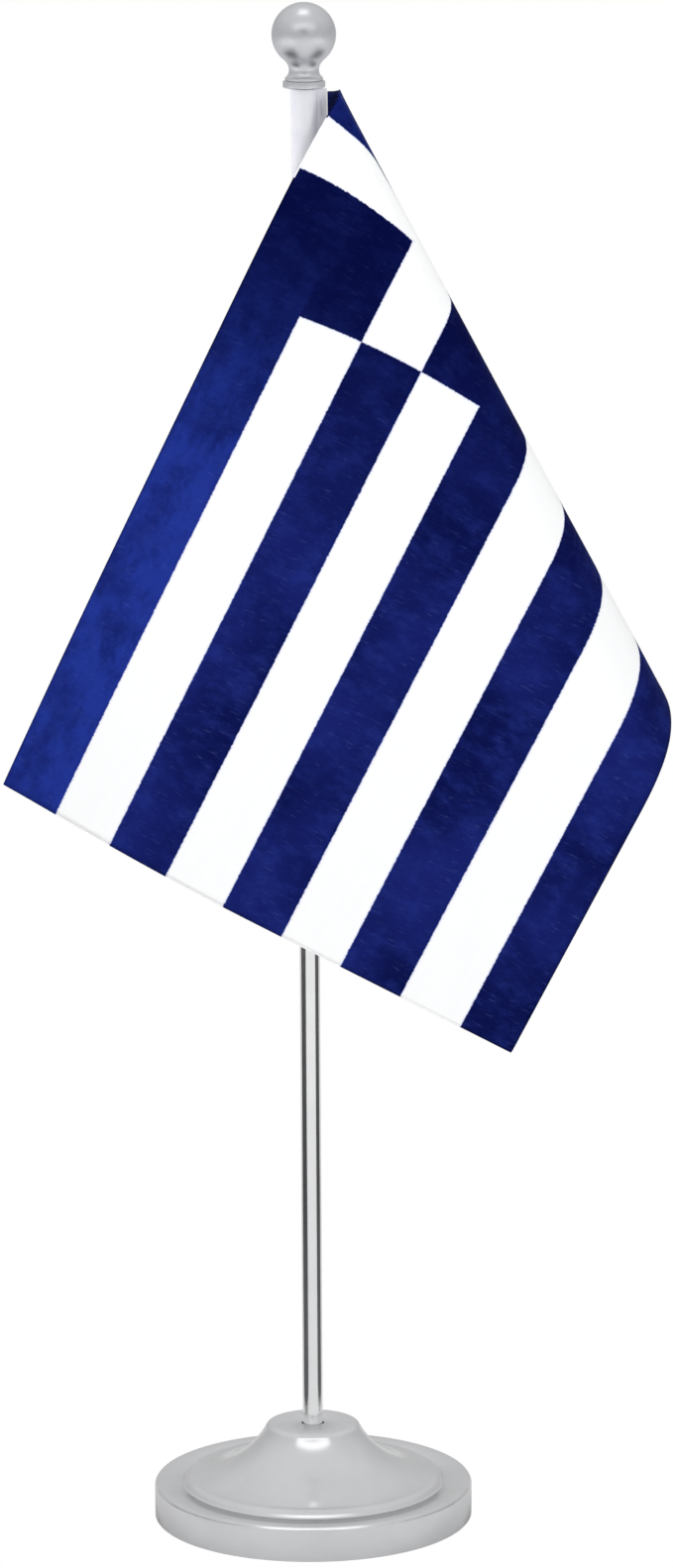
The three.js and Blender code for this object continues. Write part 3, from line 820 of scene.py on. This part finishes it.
# %% Stitches
def stitch_row(side, first, last, at, length=2.1, pause=0.5, radius=0.12):
    runs = []
    height = first
    while height - length > last:
        t = np.linspace(0, 1, 9)
        lift = side * (tab_half + 0.13 * np.sin(math.pi * t) ** 0.5 - 0.04)
        path = np.stack([np.full(9, at), lift, height - length * t], axis=1)
        runs.append(tube_mesh(path, radius, 6))
        height -= length + pause
    return runs

tab_line = seam_reach - 0.75
runs = stitch_row(-1, sleeve_top - 11.5, sleeve_low[2] + 1, at=tab_line)
runs += stitch_row(1, sleeve_top - 1.0, sleeve_low[2] + 1, at=tab_line)
points, faces = joined(runs)
stitches = new_piece("sleeve_stitches", points * mm, faces, thread_white)
store_cloth_map(stitches, points[:, 0] + points[:, 1], points[:, 2])

# %% [markdown]
# Near the top the seam carries two short bar tacks of darker thread, which keep the corner from tearing.
# A bar tack is one thread that runs from side to side many times, so it is one zigzag tube.

# %% Bar tacks
def bar_tack(top, foot, at, width=0.5, turns_per_mm=3.2):
    count = int((top - foot) * turns_per_mm * 2)
    k = np.arange(count * 4 + 1) / 4
    wave = np.abs(((k + 0.5) % 2) - 1) * 2 - 1
    return tube_mesh(np.stack([at + wave * width / 2, np.full(len(k), -tab_half - 0.10),
                               top + (foot - top) * k / count], axis=1), 0.11, 6)

tack_line = seam_reach - 1.15
points, faces = joined([bar_tack(sleeve_top - 2.4, sleeve_top - 6.5, tack_line),
                        bar_tack(sleeve_top - 8.0, sleeve_top - 9.9, tack_line)])
tacks = new_piece("sleeve_bar_tacks", points * mm, faces, thread_grey)
store_cloth_map(tacks, points[:, 0], points[:, 2])

# %% [markdown]
# A soft rubber ring grips the pole under the sleeve and keeps it from sliding down. It is a simple
# O-ring, so a round section is turned round the pole. The section's arc stops one step short of a full
# circle, because turning closes it.

# %% Stop ring
ring_low, ring_high = edges("sleeve_stop_ring")
ring_section = (ring_high[2] - ring_low[2]) / 2
ring_middle = ring_high[0] - ring_section
ring_outline = arc((ring_middle, ring_low[2] + ring_section), ring_section, 0, 345, 23)
stop_ring = turned("sleeve_stop_o_ring", ring_outline, rubber, around=72, sharp=80)

# %% [markdown]
# ## Pieces out of sight
# The ballast, bush, washers, nut, studs and inserts stay as they were packed, since they are
# already plain turned and pressed pieces. They get the metals above.

# %% Inner pieces
inner = {
    "base_cover": zinc, "base_weight": casting, "hub_bush": brass, "flat_washer": zinc,
    "lock_washer": zinc, "clamp_nut": zinc, "pole_stud": zinc, "pole_top_insert": brass,
    "finial_stud": zinc,
}
for node, material in inner.items():
    mesh = bpy.data.objects[node].data
    for place in range(len(mesh.materials)):
        mesh.materials[place] = material
print("inner pieces:", len(inner))

# %% [markdown]
# ## What each piece rides on and stands for
# The pole screws into the base, the finial into the pole, and the flag turns round the pole, so
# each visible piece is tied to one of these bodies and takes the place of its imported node.

# %% Bodies and slots
made = [
    (base_shell, "base", "base_shell", "chrome_plate"),
    (base_pad, "base", "base_pad", "pad_foam"),
    (pole, "pole", "pole_tube", "chrome_plate"),
    (stop_ring, "pole", "sleeve_stop_ring", "stop_rubber"),
    (collar, "finial", "finial_collar", "chrome_plate"),
    (finial, "finial", "finial_ball", "chrome_plate"),
    (sleeve, "flag", "flag_sleeve", "sleeve_cloth"),
    (flag, "flag", "flag_cloth", "flag_satin"),
]
for piece, body, node, slot in made:
    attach(piece, body)
    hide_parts(node)
for piece, slot in ((edging, "flag_satin"), (stitches, "sleeve_cloth"), (tacks, "sleeve_cloth")):
    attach(piece, "flag")
print("pieces that replace packed nodes:", len(made))

# %% [markdown]

# %% [markdown]
# ## Studio
# The stand is on white paper and lit softly from all round. Bright plate shows only what it reflects,
# so its dark lines have to come from something dark. Two dark papers lie beside the stand and turn up
# at their far ends for the pole, and a small dark card hangs under the strip light for the hub. The
# camera doesn't see them. The white paper shows pure white to the camera, as in a lit sweep.

# %% Floor and screens
def stage_mesh(name, corners, material, faces=((0, 1, 2, 3),)):
    mesh = bpy.data.meshes.new(name)
    mesh.from_pydata(corners, [], list(faces))
    mesh.materials.append(material)
    piece = bpy.data.objects.new(name, mesh)
    bpy.context.collection.objects.link(piece)
    return piece

def stage_material(name, colour, seen=None):
    material = bpy.data.materials.new(name)
    material.use_nodes = True
    tree = Tree(material.node_tree)
    material.node_tree.nodes.clear()
    plain = tree.node("ShaderNodeBsdfDiffuse", Color=(*colour, 1)).outputs[0]
    if seen is not None:
        glow = tree.node("ShaderNodeEmission", Color=(seen, seen, seen, 1)).outputs[0]
        looked_at = tree.node("ShaderNodeLightPath").outputs["Is Camera Ray"]
        plain = tree.node("ShaderNodeMixShader", in0=looked_at, in1=plain, in2=glow).outputs[0]
    output = tree.node("ShaderNodeOutputMaterial")
    material.node_tree.links.new(plain, output.inputs["Surface"])
    return material

paper = stage_material("white_paper", (0.80, 0.80, 0.80), seen=1.0)
black = stage_material("dark_paper", (0.13, 0.13, 0.135))
half_floor, under = 3, -0.0003
stage_mesh("floor", [(x * half_floor, y * half_floor, under)
                     for x, y in ((-1, -1), (1, -1), (1, 1), (-1, 1))], paper)

def dark_wing(name, start, end, near=0.105, far=0.34, tall=0.085):
    """Dark paper on the floor between two directions, in degrees to the right of the viewer, that
    turns upright at its far end."""
    sides = [Vector((math.sin(a), -math.cos(a), 0)) for a in map(math.radians, (start, end))]
    lift, top = Vector((0, 0, 0.001)), Vector((0, 0, tall))
    levels = (near, lift), (far, lift), (far, top)
    corners = [side * reach + up for reach, up in levels for side in sides]
    piece = stage_mesh(name, corners, black, faces=[(0, 2, 3, 1), (2, 4, 5, 3)])
    piece.visible_camera = False
    return piece

dark_wing("wing_left", -116, -48)
dark_wing("wing_right", 62, 116)

low, high = (Vector((0, -1.45 * math.cos(a), 1.45 * math.sin(a))) for a in map(math.radians, (25, 38)))
side = Vector((0.3, 0, 0))
card = stage_mesh("card_below_strip", [low - side, low + side, high + side, high - side], black)
card.visible_camera = False

# %% [markdown]
# Three large soft boxes light the stand evenly and stay out of the reflections. A wide strip light,
# nearly half way up the sky, is the one that the plate mirrors: on the hub, on the edge of the raised
# plate and on the corner of the rim. Three small lights reach chosen pieces only: one above
# the finial, and one on either side of the sleeve, which the cloth would otherwise shade.

# %% Lights
def soft_box(name, place, aim, size, power, tall=None):
    data = bpy.data.lights.new(name, "AREA")
    data.shape, data.size, data.size_y = "RECTANGLE", size, tall or size
    data.energy = power
    light = bpy.data.objects.new(name, data)
    bpy.context.collection.objects.link(light)
    turn = (Vector(aim) - Vector(place)).to_track_quat("-Z", "Y").to_matrix().to_4x4()
    light.matrix_world = Matrix.Translation(place) @ turn
    light.visible_camera = False
    return light

for name, place, power in (("key_left", (-1.5, -0.8, 0.7), 11.0), ("fill_right", (1.4, -1.0, 0.6), 9.0),
                           ("front", (0.1, -2.2, 0.9), 7.0)):
    soft_box(name, place, (0, 0, 0.2), 0.8, power).visible_glossy = False
strip_turn = math.radians(46)
strip_place = (0, -1.5 * math.cos(strip_turn), 1.5 * math.sin(strip_turn))
soft_box("strip", strip_place, (0, 0, 0), 1.9, 1.4, tall=0.36)

def light_only(light, pieces):
    """The light reaches these pieces alone, and only they shade one another from it."""
    group = bpy.data.collections.new(light.name + "_lights")
    for piece in pieces:
        group.objects.link(piece)
    light.light_linking.receiver_collection = group
    light.light_linking.blocker_collection = group

overhead = soft_box("overhead", (0.0, 0.05, 1.6), (0, 0, 0.1), 0.5, 0.85, tall=0.36)
light_only(overhead, (finial, collar))
for name, place, power in (("sleeve_left", (-1.3, 0.1, 0.5), 12.0),
                           ("sleeve_right", (0.95, -0.95, 0.5), 7.0)):
    light_only(soft_box(name, place, (0, 0, 0.3), 0.5, power), (sleeve, stitches, tacks))

# %% [markdown]
# The surroundings are a soft grey that brightens upwards, as in a white room. The camera sees them as
# plain white. The cloth stays out of reflections, because its dark bands, mirrored in the flare of the
# base, would hide the shape of the plate. That is a choice for clarity, not how a real mirror behaves.

# %% Surroundings
world = bpy.data.worlds.new("studio")
bpy.context.scene.world = world
world.use_nodes = True
world.node_tree.nodes.clear()
tree = Tree(world.node_tree)
direction = tree.node("ShaderNodeTexCoord").outputs["Generated"]
height = tree.node("ShaderNodeSeparateXYZ", Vector=direction).outputs["Z"]
glow = tree.ramp(height, -0.1, 0.9, 0.66, 0.92)
around_light = tree.node("ShaderNodeBackground", Strength=glow).outputs[0]
seen_light = tree.node("ShaderNodeBackground", Color=(1, 1, 1, 1), Strength=1.0).outputs[0]
looked_at = tree.node("ShaderNodeLightPath").outputs["Is Camera Ray"]
mixed = tree.node("ShaderNodeMixShader", in0=looked_at, in1=around_light, in2=seen_light).outputs[0]
output = tree.node("ShaderNodeOutputWorld")
world.node_tree.links.new(mixed, output.inputs["Surface"])

bpy.context.scene.view_settings.view_transform = "Standard"
flag.visible_glossy = edging.visible_glossy = False
print("world:", world.name)

# %% [markdown]
# ## Last update
# The view layer is updated once more at the end. The finished pieces have to keep to the
# imported model's box.

# %% Last update
bpy.context.view_layer.update()
